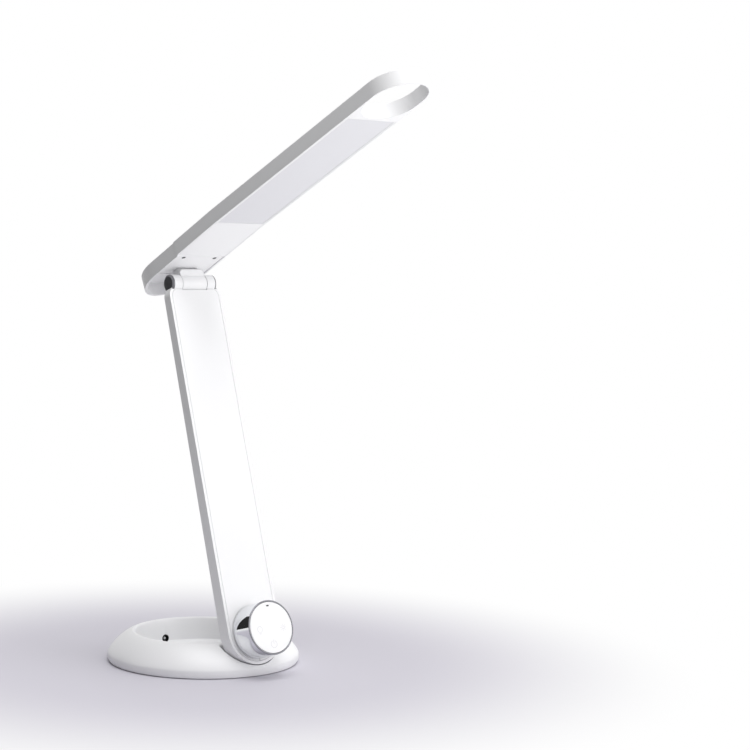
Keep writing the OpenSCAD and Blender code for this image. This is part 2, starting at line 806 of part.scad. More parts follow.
module knuckle() {
    color(white)
        on_head()
            difference() {
                union() {
                    cross_bar(barrel_r, -knuckle_x, knuckle_x);
                    intersection() {
                        translate([-knuckle_x, 0, 0])
                            rotate([90, 0, 90])
                                linear_extrude(knuckle_w)
                                    polygon([
                                        [neck_rear, 0],
                                        [neck_front, 0],
                                        [neck_front, neck_kink],
                                        [neck_top_front, head_drop],
                                        [neck_top_front, flange_z0 + 0.5],
                                        [neck_rear, flange_z0 + 0.5]
                                    ]);
                        translate([0, barrel_d, 0])
                            rotate([90, 0, 0])
                                linear_extrude(2 * barrel_d)
                                    polygon([
                                        [-knuckle_x, 0],
                                        [knuckle_x, 0],
                                        [knuckle_x, barrel_r],
                                        [neck_x, neck_kink + 0.6],
                                        [neck_x, flange_z1],
                                        [-neck_x, flange_z1],
                                        [-neck_x, neck_kink + 0.6],
                                        [-knuckle_x, barrel_r]
                                    ]);
                    }
                    translate([-flange_x, neck_rear - 0.5, flange_z0])
                        cube([2 * flange_x, flange_x, flange_z1 - flange_z0]);
                }
                cross_bar(pin_r + running_clear, -knuckle_x - 1, knuckle_x + 1);
                for (s = [-1, 1]) translate([s * knuckle_screw_x, knuckle_screw_y, 0])
                    cylinder(r = screw_r, h = 40, $fn = 32);
                // way for the wires
                translate([-3, neck_rear + 1.2, pin_r + 2.4]) cube([6, 2.6, 30]);
            }
}

module knuckle_screws() {
    color(steel)
        on_head()
            for (s = [-1, 1]) translate([s * knuckle_screw_x, knuckle_screw_y, flange_z0])
                screw(knuckle_screw_l, 1);
}

module rear_housing() {
    z_in = rear_z1 - top_wall;
    color(white)
        on_head()
            difference() {
                union() {
                    difference() {
                        intersection() {
                            linear_extrude(2 * head_top_z) head_outline(rear_in);
                            head_bar(head_w, -2 * head_back, seam_at, rear_z0, rear_z1);
                        }
                        // pocket under the rear end
                        intersection() {
                            linear_extrude(2 * head_top_z) head_outline(rear_in + rim_t);
                            head_bar(head_w, -2 * head_back, pocket_at, rear_z0 - 1, z_in);
                        }
                        // room over the deck
                        head_bar(deck_x, pocket_at + 2, seam_at + 1, rear_z0 - 1, head_drop + deck_t + 0.1);
                        head_bar(room_x, pocket_at + 2, seam_at + 1, rear_z0, z_in);
                    }
                    // bosses of the knuckle's screws and the deck's screws
                    for (s = [-1, 1]) translate([s * knuckle_screw_x, knuckle_screw_y, flange_z1])
                        cylinder(r = 3, h = z_in - fall(knuckle_screw_y) + 0.6 - flange_z1, $fn = 32);
                    for (p = deck_screw_at) translate([p[0], p[1], head_drop - fall(p[1]) + deck_t + 0.1])
                        cylinder(r = 2.8, h = z_in - head_drop - deck_t + 0.5, $fn = 32);
                    // tongue into the front shell
                    head_bar(room_x - 1, seam_at - 3, seam_at + 8, board_top - 2.4, board_top - 0.25);
                }
                for (s = [-1, 1]) translate([s * knuckle_screw_x, knuckle_screw_y, 0])
                    cylinder(r = screw_r, h = flange_z0 + knuckle_screw_l, $fn = 32);
                for (p = deck_screw_at) translate([p[0], p[1], 0])
                    cylinder(r = 0.9, h = head_drop - fall(p[1]) + 6, $fn = 32);
            }
}

module deck() {
    color(white)
        on_head()
            difference() {
                head_bar(deck_x - 0.1, pocket_at + 2.1, seam_at - 0.1, head_drop, head_drop + deck_t);
                translate([-neck_x - 0.5, neck_rear - 0.4, 0])
                    cube([2 * neck_x + 1, neck_at_deck + 0.8 - neck_rear, 60]);
                for (p = deck_screw_at) translate([p[0], p[1], 0]) {
                    cylinder(r = 1.1, h = 60, $fn = 32);
                    cylinder(r = 1.9, h = head_drop - fall(p[1]) + 0.9, $fn = 32);
                }
            }
}

module deck_screws() {
    color(dark)
        on_head()
            for (p = deck_screw_at) translate([p[0], p[1], head_drop - fall(p[1]) + 0.2]) {
                cylinder(r = 0.9, h = 5.7, $fn = 24);
                cylinder(r = 1.7, h = 0.7, $fn = 24);
            }
}

module head_shell() {
    color(white)
        on_head()
            difference() {
                intersection() {
                    linear_extrude(2 * head_top_z)
                        difference() {
                            head_outline();
                            loop_opening();
                        }
                    head_bar(head_w, seam_at, 2 * arm_len, head_drop, head_top_z);
                }
                head_bar(frame_x, seam_at - 1, panel_end + 1, head_drop - 1, head_drop + deck_t + 0.2);
                head_bar(shell_x, seam_at - 1, panel_end - 1, head_drop, board_top);
            }
}

module bezel() {
    win = panel_w + 0.3;
    color(white)
        on_head()
            difference() {
                head_bar(frame_x - 0.1, seam_at + 0.1, panel_end + 0.9, head_drop + 0.1, head_drop + deck_t);
                translate([-win / 2, panel_start, head_drop - 1])
                    cube([win, panel_end - panel_start, deck_t + 2]);
            }
}

module diffuser() {
    color([0.88, 0.88, 0.9])
        on_head() {
            translate([-panel_w / 2, panel_start + 0.2, head_drop + 0.3])
                cube([panel_w, panel_end - panel_start - 0.4, panel_t]);
            translate([-panel_w / 2 - 0.7, panel_start - 1.2, head_drop + deck_t + 0.05])
                cube([panel_w + 1.4, panel_end - panel_start - 0.1, 0.8]);
        }
}

module light_guide() {
    color([0.8, 0.85, 0.9])
        on_head()
            translate([-panel_w / 2 - 0.5, panel_start, head_drop + deck_t + 1])
                cube([panel_w + 1, panel_end - panel_start - 2, 2]);
}

module emitter_board() {
    color(white)
        on_head()
            translate([-panel_w / 2 + 1, panel_start - 2, board_top - board_t])
                cube([panel_w - 2, panel_end - panel_start, board_t]);
}

module emitter_set() {
    step = (panel_end - panel_start - 14) / (emitters - 1);
    color([0.95, 0.9, 0.6])
        on_head()
            for (i = [0:emitters - 1])
                for (s = [-1, 1])
                    translate([s * 10 - 1.5, panel_start + 4 + i * step, board_top - board_t - emitter_h])
                        cube([3, 5, emitter_h]);
}

module head_wires() {
    color([0.7, 0.1, 0.1])
        on_head()
            for (s = [-1, 1]) translate([s * wire_x, 0, flange_z1 + 0.8]) rotate([-90, 0, 0])
                cylinder(r = wire_r, h = panel_start - 6, $fn = 24);
}

base_shell();
bottom_plate();
rubber_pad();
ring_weights();
inlet_socket();
inlet_pin();
base_screws();
lug_screws();
hinge_lug();
low_pin();
low_washers();
low_collars();
arm_shell();
arm_cover();
arm_screws();
driver_board();
board_parts();
board_screws();
arm_wires();
dial_post();
post_screws();
dial_ring();
code_ring();
keeper_ring();
sensor_board();
touch_board();
touch_face();
light_dot();
upper_pin();
upper_washers();
end_caps();
knuckle();
knuckle_screws();
rear_housing();
deck();
deck_screws();
head_shell();
bezel();
diffuser();
light_guide();
emitter_board();
emitter_set();
head_wires();
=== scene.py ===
"""Looks of the folding desk lamp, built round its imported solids. Metres, in the lamp's own frame."""

import json
import math

import bmesh
import bpy
from bpy.props import FloatProperty, FloatVectorProperty, PointerProperty
from mathutils import Matrix, Vector

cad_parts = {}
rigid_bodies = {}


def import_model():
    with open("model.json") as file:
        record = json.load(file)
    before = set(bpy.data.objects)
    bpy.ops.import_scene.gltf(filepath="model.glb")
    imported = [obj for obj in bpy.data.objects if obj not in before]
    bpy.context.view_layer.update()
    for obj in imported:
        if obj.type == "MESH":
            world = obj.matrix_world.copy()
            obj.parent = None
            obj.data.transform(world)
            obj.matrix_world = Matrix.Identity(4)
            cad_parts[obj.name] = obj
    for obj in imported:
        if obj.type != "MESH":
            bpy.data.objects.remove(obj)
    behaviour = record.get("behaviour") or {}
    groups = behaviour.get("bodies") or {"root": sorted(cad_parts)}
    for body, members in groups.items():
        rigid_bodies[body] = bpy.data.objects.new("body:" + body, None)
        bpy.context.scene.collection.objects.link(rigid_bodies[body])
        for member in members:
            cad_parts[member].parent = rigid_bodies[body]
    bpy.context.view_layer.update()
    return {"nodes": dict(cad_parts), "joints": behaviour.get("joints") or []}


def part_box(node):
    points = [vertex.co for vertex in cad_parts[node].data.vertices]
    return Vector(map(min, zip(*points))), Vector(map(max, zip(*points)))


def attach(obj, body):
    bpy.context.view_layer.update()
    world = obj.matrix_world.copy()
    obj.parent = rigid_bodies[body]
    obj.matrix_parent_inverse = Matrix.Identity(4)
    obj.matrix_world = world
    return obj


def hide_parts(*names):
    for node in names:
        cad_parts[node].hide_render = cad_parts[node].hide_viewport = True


bl_info = {
    "name": "Folding desk lamp",
    "version": (1, 0, 0),
    "blender": (4, 5, 0),
    "location": "3D View > Sidebar > Desk lamp",
    "description": "Dresses the solids of a folding desk lamp and sets up its studio",
    "category": "Object",
}

for leftover in list(bpy.data.objects):
    bpy.data.objects.remove(leftover)
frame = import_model()

HINGES = {j["name"]: Vector(j["pos_m"]) for j in frame["joints"]}
DIAL_AXIS = Vector(next(j["axis"] for j in frame["joints"] if j["name"] == "dial_turn"))
CAD_DIAL_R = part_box("dial_ring")[1].x
DIAL_HIGH = 0.0228
TOWARD_LIGHT = (0.8, -0.6, 0.0)


# Settings a user would change


def strength(name, value, description):
    return FloatProperty(name=name, description=description, default=value, min=0)


def length(name, value, description):
    return FloatProperty(name=name, description=description, default=value, unit="LENGTH", precision=5)


def colour(name, value, description):
    return FloatVectorProperty(
        name=name, description=description, default=value, subtype="COLOR", size=3, min=0, max=1
    )


class LampSizes(bpy.types.PropertyGroup):
    """Sizes of the finer shapes that the solids get."""

    bowl_round: length("Base rounding", 0.0009, "Rounding of the base's edges and of its bowl")
    dial_radius: length("Dial radius", CAD_DIAL_R, "Outer radius of the chrome dial")
    edge_round: length("Edge rounding", 0.0006, "Rounding of the moulded edges")
    symbol_stroke: length("Symbol stroke", 0.00035, "Line width of the symbols on the touch face")


class LampColours(bpy.types.PropertyGroup):
    """Colours of the lamp's finishes."""

    white_plastic: colour("White plastic", (0.85, 0.85, 0.862), "Satin white of the moulded housings")
    touch_plastic: colour("Touch face", (0.88, 0.88, 0.885), "Smooth white of the touch face")
    diffuser: colour("Diffuser", (0.7, 0.7, 0.73), "Milky white of the light panel")
    chrome: colour("Chrome", (0.8, 0.81, 0.83), "Polished plating of the dial")
    # Painted dark reflection: colour of the thin band along the dial's front rim, standing in for dark
    # surroundings mirrored in the chrome.
    dial_painted_reflection: colour("Dial bevel", (0.2, 0.2, 0.22), "Darker plating of the dial's front edge")
    dark_chrome: colour("Dark chrome", (0.17, 0.17, 0.185), "Dark plating of the hinge's end caps")
    steel: colour("Steel", (0.55, 0.56, 0.58), "Pins, screws and the bottom plate")
    symbols: colour("Symbols", (0.62, 0.62, 0.64), "Symbols printed on the touch face")
    rubber: colour("Rubber", (0.025, 0.025, 0.027), "Pad under the base")
    boards: colour("Circuit boards", (0.02, 0.13, 0.06), "Green of the circuit boards")


class StageSettings(bpy.types.PropertyGroup):
    """Floor, lamps and camera round the object."""

    floor_colour: colour("Floor", (0.6, 0.583, 0.643), "Pale floor near the lamp")
    key_power: strength("Key light", 8.8, "Watts of the large front light")
    top_power: strength("Top light", 21.0, "Watts of the light overhead")
    dim_side: strength("Dim side", 0.19, "Brightness of the surroundings to the left")
    bright_side: strength("Bright side", 0.86, "Brightness of the surroundings to the right")
    under_light: strength("Light from below", 1.6, "Brightness of the distant floor under the head")
    focal_length: FloatProperty(
        name="Focal length", description="Camera lens in millimetres", default=96.0, min=1
    )


# Shader maths


class Field:
    """A node's output that takes part in plain Python sums."""

    def __init__(self, paint, socket):
        self.paint = paint
        self.socket = socket

    def _with(self, operation, first, second):
        return self.paint.node("Math", {"operation": operation}, {0: first, 1: second})

    def __add__(self, other):
        return self._with("ADD", self, other)

    def __radd__(self, other):
        return self._with("ADD", other, self)

    def __sub__(self, other):
        return self._with("SUBTRACT", self, other)

    def __rsub__(self, other):
        return self._with("SUBTRACT", other, self)

    def __mul__(self, other):
        return self._with("MULTIPLY", self, other)

    def __rmul__(self, other):
        return self._with("MULTIPLY", other, self)


class Paint:
    """One material in the making."""

    def __init__(self, name, tree=None):
        if tree is None:
            self.material = bpy.data.materials.new(name)
            self.material.use_nodes = True
            tree = self.material.node_tree
        else:
            self.material = None
        self.tree = tree
        self.tree.nodes.clear()

    def node(self, kind, settings=None, values=None, output=0):
        """Adds a node: its settings first, then the numbers or links of its sockets."""
        made = self.tree.nodes.new("ShaderNode" + kind)
        for key, value in (settings or {}).items():
            setattr(made, key, value)
        for key, value in (values or {}).items():
            if isinstance(value, Field):
                self.tree.links.new(value.socket, made.inputs[key])
            elif value is not None:
                made.inputs[key].default_value = value
        return Field(self, made.outputs[output])

    def place(self):
        return self.node("TexCoord", output="Object")

    def noise(self, scale, detail=3.0, rough=0.5, vector=None):
        return self.node(
            "TexNoise",
            None,
            {"Vector": vector or self.place(), "Scale": scale, "Detail": detail, "Roughness": rough},
        )

    def mix_colour(self, factor, first, second):
        return self.node(
            "Mix",
            {"data_type": "RGBA"},
            {"Factor": factor, 6: first, 7: second},
            output=2,
        )

    def along(self, place, direction):
        """How far a place lies along a direction."""
        settings = {"operation": "DOT_PRODUCT"}
        return self.node("VectorMath", settings, {0: place, 1: direction}, output="Value")

    def bump(self, height, strength, distance):
        return self.node("Bump", None, {"Height": height, "Strength": strength, "Distance": distance})

    def end(self, shader, kind="OutputMaterial"):
        out = self.tree.nodes.new("ShaderNode" + kind)
        self.tree.links.new(shader.socket, out.inputs["Surface"])
        return self.material


def rgba(value, gain=1.0):
    return (value[0] * gain, value[1] * gain, value[2] * gain, 1.0)


# Finishes


def moulded_plastic(name, shade, rough=0.38, grain=900.0, depth=0.00001, sheen_spread=0.05):
    """Moulded plastic: a fine spark-eroded grain, faint flow clouds and slightly uneven gloss."""
    paint = Paint(name)
    clouds = paint.noise(14.0, 2.0)
    fine = paint.noise(grain, 4.0, 0.6)
    patches = paint.noise(60.0, 3.0)
    base = paint.mix_colour(clouds, rgba(shade, 0.985), rgba(shade, 1.01))
    shader = paint.node(
        "BsdfPrincipled",
        None,
        {
            "Base Color": base,
            "Roughness": patches * sheen_spread * 2 + (rough - sheen_spread),
            "Normal": paint.bump(fine, 0.35, depth),
            "IOR": 1.5,
        },
    )
    return paint.end(shader)


def smooth_plastic(name, shade, rough=0.16):
    """Polished plastic with the faint waviness and wiping marks of a touched surface."""
    paint = Paint(name)
    waves = paint.noise(70.0, 2.0)
    marks = paint.noise(240.0, 5.0, 0.7)
    base = paint.mix_colour(waves, rgba(shade, 0.99), rgba(shade, 1.005))
    shader = paint.node(
        "BsdfPrincipled",
        None,
        {
            "Base Color": base,
            "Roughness": marks * 0.12 + (rough - 0.04),
            "Normal": paint.bump(waves, 0.1, 0.00002),
            "IOR": 1.5,
        },
    )
    return paint.end(shader)


def plating(name, shade, rough=0.05, bevel=None):
    """Polished plating with faint wipe marks and a slight ripple; where a bevel colour is given, a painted
    dark reflection in that colour along the dial's front rim.
    """
    paint = Paint(name)
    marks = paint.noise(160.0, 6.0, 0.75)
    ripple = paint.noise(45.0, 1.0)
    base = paint.mix_colour(marks, rgba(shade, 0.97), rgba(shade, 1.02))
    # Painted reflection: a thin band at the dial's front rim takes the darker bevel colour, standing in for
    # dark surroundings mirrored in the chrome.
    if bevel:
        out = paint.along(paint.place(), tuple(DIAL_AXIS))
        front = HINGES["dial_turn"].dot(DIAL_AXIS) + DIAL_HIGH
        edge = paint.node(
            "MapRange", None, {"Value": out, "From Min": front - 0.0007, "From Max": front - 0.0005}
        )
        base = paint.mix_colour(edge, base, rgba(bevel))
    shader = paint.node(
        "BsdfPrincipled",
        None,
        {
            "Base Color": base,
            "Metallic": 1.0,
            "Roughness": marks * 0.06 + (rough - 0.02),
            "Normal": paint.bump(ripple, 0.06, 0.00002),
        },
    )
    return paint.end(shader)


def brushed_metal(name, shade, rough=0.32):
    """Plain bright steel with drawn marks along its length."""
    paint = Paint(name)
    streaks = paint.node("Mapping", None, {"Vector": paint.place(), "Scale": (1.0, 1.0, 0.05)})
    lines = paint.noise(2200.0, 3.0, 0.6, streaks)
    stains = paint.noise(90.0, 4.0)
    base = paint.mix_colour(stains, rgba(shade, 0.88), rgba(shade, 1.08))
    shader = paint.node(
        "BsdfPrincipled",
        None,
        {
            "Base Color": base,
            "Metallic": 1.0,
            "Roughness": lines * 0.2 + (rough - 0.1),
            "Normal": paint.bump(lines, 0.2, 0.00001),
        },
    )
    return paint.end(shader)


def cast_metal(name, shade, rough, metallic):
    """Cast metal: pitted and blotchy."""
    paint = Paint(name)
    pits = paint.noise(700.0, 5.0, 0.65)
    blotches = paint.noise(120.0, 4.0)
    base = paint.mix_colour(blotches, rgba(shade, 0.8), rgba(shade, 1.15))
    shader = paint.node(
        "BsdfPrincipled",
        None,
        {
            "Base Color": base,
            "Metallic": metallic,
            "Roughness": pits * 0.25 + rough,
            "Normal": paint.bump(pits, 0.5, 0.00005),
        },
    )
    return paint.end(shader)


def rubber(name, shade):
    """Matt rubber with a dusty bloom in its fine grain."""
    paint = Paint(name)
    grain = paint.noise(1500.0, 3.0, 0.6)
    bloom = paint.noise(50.0, 4.0)
    base = paint.mix_colour(bloom, rgba(shade), rgba(shade, 1.9))
    shader = paint.node(
        "BsdfPrincipled",
        None,
        {
            "Base Color": base,
            "Roughness": bloom * 0.1 + 0.75,
            "Normal": paint.bump(grain, 0.6, 0.00003),
        },
    )
    return paint.end(shader)


def milky_sheet(name, shade):
    """Milky diffuser sheet: light sinks in, the skin is finely frosted."""
    paint = Paint(name)
    frost = paint.noise(1800.0, 3.0, 0.6)
    depth = paint.noise(9.0, 2.0)
    base = paint.mix_colour(depth, rgba(shade, 0.985), rgba(shade, 1.01))
    shader = paint.node(
        "BsdfPrincipled",
        None,
        {
            "Base Color": base,
            "Roughness": frost * 0.1 + 0.42,
            "Normal": paint.bump(frost, 0.25, 0.000008),
            "Subsurface Weight": 0.25,
            "Subsurface Radius": (1.0, 1.0, 1.0),
            "Subsurface Scale": 0.002,
            "IOR": 1.49,
        },
    )
    return paint.end(shader)


def clear_sheet(name):
    """Clear acrylic light guide with a printed dot field on its back."""
    paint = Paint(name)
    dots = paint.node(
        "TexVoronoi", {"feature": "F1"}, {"Vector": paint.place(), "Scale": 420.0, "Randomness": 0.1}
    )
    spot = paint.node(
        "MapRange",
        {"interpolation_type": "SMOOTHSTEP"},
        {"Value": dots, "From Min": 0.2, "From Max": 0.3, "To Min": 1.0, "To Max": 0.0},
    )
    base = paint.mix_colour(spot, (0.9, 0.93, 0.96, 1), (0.98, 0.98, 0.98, 1))
    shader = paint.node(
        "BsdfPrincipled",
        None,
        {
            "Base Color": base,
            "Roughness": spot * 0.4 + 0.05,
            "Transmission Weight": 0.85,
            "IOR": 1.49,
        },
    )
    return paint.end(shader)


def circuit_board(name, shade):
    """Solder mask over faint tracks."""
    paint = Paint(name)
    tracks = paint.node(
        "TexBrick",
        {"offset": 0.37, "squash": 0.6},
        {
            "Vector": paint.place(),
            "Scale": 260.0,
            "Mortar Size": 0.06,
            "Color1": (0, 0, 0, 1),
            "Color2": (0, 0, 0, 1),
            "Mortar": (1, 1, 1, 1),
        },
    )
    base = paint.mix_colour(tracks, rgba(shade), rgba(shade, 1.8))
    shader = paint.node(
        "BsdfPrincipled",
        None,
        {"Base Color": base, "Roughness": 0.3, "Normal": paint.bump(tracks, 0.3, 0.00003)},
    )
    return paint.end(shader)


def phosphor(name):
    """Yellow phosphor window in a white emitter body, seen unlit."""
    paint = Paint(name)
    speckle = paint.noise(4000.0, 2.0)
    base = paint.mix_colour(speckle, (0.85, 0.72, 0.2, 1), (0.9, 0.8, 0.35, 1))
    shader = paint.node("BsdfPrincipled", None, {"Base Color": base, "Roughness": 0.35})
    return paint.end(shader)


def insulated_wire(name):
    """Red sleeve with slight scuffs."""
    paint = Paint(name)
    scuffs = paint.noise(600.0, 4.0)
    base = paint.mix_colour(scuffs, (0.42, 0.02, 0.02, 1), (0.5, 0.05, 0.05, 1))
    shader = paint.node(
        "BsdfPrincipled", None, {"Base Color": base, "Roughness": scuffs * 0.2 + 0.35}
    )
    return paint.end(shader)


FINISHES = {}


def finish(slot):
    """The material of a slot in the record, made once."""
    if slot not in FINISHES:
        hues = bpy.context.scene.lamp_colours
        makers = {
            "white_shell": lambda: moulded_plastic("white_plastic", hues.white_plastic),
            "touch_white": lambda: smooth_plastic("touch_plastic", hues.touch_plastic),
            "diffuser": lambda: milky_sheet("milky_diffuser", hues.diffuser),
            "dial_chrome": lambda: plating("dial_plating", hues.chrome, bevel=hues.dial_painted_reflection),
            "cap_dark": lambda: plating("dark_plating", hues.dark_chrome, 0.3),
            "steel": lambda: brushed_metal("bright_steel", hues.steel),
            "screw_dark": lambda: brushed_metal("dark_screws", (0.09, 0.09, 0.1), 0.4),
            "cast_lug": lambda: cast_metal("cast_alloy", (0.55, 0.56, 0.58), 0.35, 1.0),
            "iron": lambda: cast_metal("raw_iron", (0.09, 0.085, 0.08), 0.6, 0.6),
            "black_plastic": lambda: moulded_plastic("black_plastic", (0.012, 0.012, 0.013), 0.4),
            "pad_rubber": lambda: rubber("pad_rubber", hues.rubber),
            "circuit_board": lambda: circuit_board("solder_mask", hues.boards),
            "board_white": lambda: circuit_board("white_mask", (0.45, 0.45, 0.45)),
            "guide_clear": lambda: clear_sheet("clear_guide"),
            "emitter": lambda: phosphor("emitter_phosphor"),
            "wire": lambda: insulated_wire("wire_sleeve"),
            "indicator": lambda: smooth_plastic("smoked_window", (0.04, 0.04, 0.045), 0.12),
            "symbols": lambda: smooth_plastic("symbol_print", hues.symbols, 0.3),
        }
        FINISHES[slot] = makers[slot]()
    return FINISHES[slot]


# Mesh helpers


def dress(*nodes, rounding=None, steps=2):
    """Gives nodes of the frame their finish and, where wanted, softly rounded edges."""
    for name in nodes:
        solid = frame["nodes"][name]
        slot = solid.data.materials[0].name
        solid.data.materials[0] = finish(slot)
        if rounding:
            soften(solid, rounding, steps)


def soften(solid, width, steps=2):
    """Welds the solid's faces, rounds its sharp edges and evens the shading."""
    weld = solid.modifiers.new("weld", "WELD")
    weld.merge_threshold = 0.000002
    bevel = solid.modifiers.new("edges", "BEVEL")
    bevel.limit_method = "ANGLE"
    bevel.angle_limit = math.radians(32)
    bevel.width = width
    bevel.segments = steps
    bevel.use_clamp_overlap = True
    bevel.miter_outer = "MITER_ARC"
    even = solid.modifiers.new("shading", "WEIGHTED_NORMAL")
    even.keep_sharp = True


def new_piece(name, mesh_data, body, slot, *stands_for):
    """Makes a piece from a bmesh, rides it on its body and hides the solids it stands for."""
    mesh = bpy.data.meshes.new(name)
    bmesh.ops.recalc_face_normals(mesh_data, faces=mesh_data.faces)
    mesh_data.to_mesh(mesh)
    mesh_data.free()
    mesh.shade_smooth()
    mesh.set_sharp_from_angle(angle=math.radians(35))
    piece = bpy.data.objects.new(name, mesh)
    bpy.context.scene.collection.objects.link(piece)
    mesh.materials.append(finish(slot))
    if stands_for:
        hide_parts(*stands_for)
    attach(piece, body)
    return piece


def arc(centre, radius, start, end, steps):
    """Points of an arc in a plane, angles in degrees."""
    return [
        (
            centre[0] + radius * math.cos(math.radians(start + (end - start) * i / steps)),
            centre[1] + radius * math.sin(math.radians(start + (end - start) * i / steps)),
        )
        for i in range(steps + 1)
    ]


def revolve(profile, angles):
    """Turns a closed profile (radius, height) round Z."""
    bm = bmesh.new()
    rings = []
    for radius, height in profile:
        rings.append([bm.verts.new((radius * math.sin(a), -radius * math.cos(a), height)) for a in angles])
    count = len(angles)
    for low, high in zip(rings, rings[1:] + rings[:1]):
        for i in range(count):
            j = (i + 1) % count
            bm.faces.new((low[i], low[j], high[j], high[i]))
    return bm


def dial_matrix(depth):
    """Frame on the dial's axis, a depth above the arm's front: +Z out of the face, +X to the right."""
    out = DIAL_AXIS
    side = Vector((1, 0, 0))
    up = out.cross(side)
    rotation = Matrix((side, up, out)).transposed().to_4x4()
    return Matrix.Translation(HINGES["dial_turn"] + out * depth) @ rotation


# Pieces


class LAMP_OT_base(bpy.types.Operator):
    """Ring base with its hollow, slope, crest and the bowl for the arm's foot"""

    bl_idname = "lamp.base"
    bl_label = "Ring base"

    def execute(self, context):
        dress("base_shell", rounding=context.scene.lamp_sizes.bowl_round, steps=3)
        return {"FINISHED"}


class LAMP_OT_base_hardware(bpy.types.Operator):
    """Pad, bottom plate, weights, inlet, lug and lower pin"""

    bl_idname = "lamp.base_hardware"
    bl_label = "Base hardware"

    def execute(self, context):
        dress("bottom_plate", "rubber_pad", "ring_weights", "base_screws", "lug_screws")
        dress("inlet_socket", "inlet_pin")
        dress("hinge_lug", "low_pin", "low_washers", "low_collars", rounding=0.0003)
        return {"FINISHED"}


class LAMP_OT_arm(bpy.types.Operator):
    """Arm shell, its inset front cover and what they hold"""

    bl_idname = "lamp.arm"
    bl_label = "Arm"

    def execute(self, context):
        rounding = context.scene.lamp_sizes.edge_round
        dress("arm_shell", rounding=rounding, steps=3)
        dress("arm_cover", rounding=rounding / 2)
        dress("arm_screws", "driver_board", "board_parts", "board_screws", "arm_wires")
        return {"FINISHED"}


class LAMP_OT_dial(bpy.types.Operator):
    """Turning chrome dial ring on its post"""

    bl_idname = "lamp.dial"
    bl_label = "Dial"

    def execute(self, context):
        dress("dial_post", "post_screws", "keeper_ring", "code_ring", "sensor_board", "touch_board")
        r = context.scene.lamp_sizes.dial_radius
        gap, high, wall, bore = 0.0014, DIAL_HIGH, 0.0012, 0.01155
        lip, foot, inner_lip, web = 0.0005, 0.0004, 0.0003, 0.002
        outline = (
            [(bore, gap), (r - foot, gap), (r, gap + foot)]
            + arc((r - lip, high - lip), lip, 0, 90, 5)
            + arc((r - wall + inner_lip, high - inner_lip), inner_lip, 90, 180, 3)
            + [(r - wall, gap + web), (bore, gap + web)]
        )
        sides = 160
        angles = [2 * math.pi * i / sides for i in range(sides)]
        bm = revolve(outline, angles)
        bmesh.ops.transform(bm, matrix=dial_matrix(0), verts=bm.verts)
        new_piece("dial_rim", bm, "dial", "dial_chrome", "dial_ring")
        return {"FINISHED"}


class LAMP_OT_touch_face(bpy.types.Operator):
    """White touch face with its symbols and indicator window"""

    bl_idname = "lamp.touch_face"
    bl_label = "Touch face"

    def execute(self, context):
        dress("touch_face", "light_dot", rounding=0.0002)
        stroke = context.scene.lamp_sizes.symbol_stroke
        thin = 0.00003
        bm = bmesh.new()

        def line(points, closed=False):
            """A flat printed line through points on the face."""
            count = len(points)
            lefts, rights = [], []
            for i, p in enumerate(points):
                before = points[i - 1] if i or closed else p
                after = points[(i + 1) % count] if i < count - 1 or closed else p
                along = Vector((after[0] - before[0], after[1] - before[1])).normalized()
                across = Vector((-along.y, along.x)) * stroke / 2
                lefts.append((p[0] + across.x, p[1] + across.y))
                rights.append((p[0] - across.x, p[1] - across.y))
            levels = []
            for height in (0.0, thin):
                levels.append([[bm.verts.new((x, y, height)) for x, y in side] for side in (lefts, rights)])
            (low_l, low_r), (top_l, top_r) = levels
            for i in range(count if closed else count - 1):
                j = (i + 1) % count
                bm.faces.new((top_l[i], top_l[j], top_r[j], top_r[i]))
                bm.faces.new((low_l[i], low_r[i], low_r[j], low_l[j]))
                bm.faces.new((top_l[i], low_l[i], low_l[j], top_l[j]))
                bm.faces.new((top_r[i], top_r[j], low_r[j], low_r[i]))
            if not closed:
                for i in (0, count - 1):
                    bm.faces.new((top_l[i], top_r[i], low_r[i], low_l[i]))

        def ring(cx, cy, radius, start=0.0, end=360.0):
            whole = end - start >= 360
            points = arc((cx, cy), radius, start, end, 36)
            line(points[:-1] if whole else points, whole)

        # light bulb: its glass, and two lines of its foot
        x, y = -0.0115, -0.0012
        ring(x, y + 0.0006, 0.0024, -60, 240)
        for half, drop in ((0.0012, 0.0021), (0.0008, 0.003)):
            line([(x - half, y - drop), (x + half, y - drop)])
        # on and off
        ring(0.0, -0.0136, 0.0029, 115, 425)
        line([(0.0, -0.0132), (0.0, -0.0100)])
        # brightness: a small sun
        x, y = 0.0118, -0.0012
        ring(x, y, 0.0012)
        for i in range(8):
            a = math.radians(45 * i)
            line([(x + math.cos(a) * q, y + math.sin(a) * q) for q in (0.0019, 0.0029)])
        bmesh.ops.transform(bm, matrix=dial_matrix(DIAL_HIGH), verts=bm.verts)
        new_piece("face_symbols", bm, "arm", "symbols")
        return {"FINISHED"}


class LAMP_OT_upper_hinge(bpy.types.Operator):
    """Knuckle, pin, washers and dark end caps"""

    bl_idname = "lamp.upper_hinge"
    bl_label = "Upper hinge"

    def execute(self, context):
        dress("knuckle", rounding=context.scene.lamp_sizes.edge_round)
        dress("upper_pin", "upper_washers", "end_caps", "knuckle_screws", rounding=0.0003)
        return {"FINISHED"}


class LAMP_OT_head(bpy.types.Operator):
    """Long light head with its loop, rear housing, deck and bezel"""

    bl_idname = "lamp.head"
    bl_label = "Light head"

    def execute(self, context):
        rounding = context.scene.lamp_sizes.edge_round
        dress("head_shell", "rear_housing", rounding=rounding, steps=3)
        dress("deck", "bezel", rounding=rounding / 3)
        dress("deck_screws", "head_wires")
        return {"FINISHED"}


class LAMP_OT_light_panel(bpy.types.Operator):
    """Diffuser, light guide, emitter board and emitters"""

    bl_idname = "lamp.light_panel"
    bl_label = "Light panel"

    def execute(self, context):
        dress("diffuser", rounding=0.0003)
        dress("light_guide", "emitter_board", "emitter_set")
        return {"FINISHED"}


# Stage


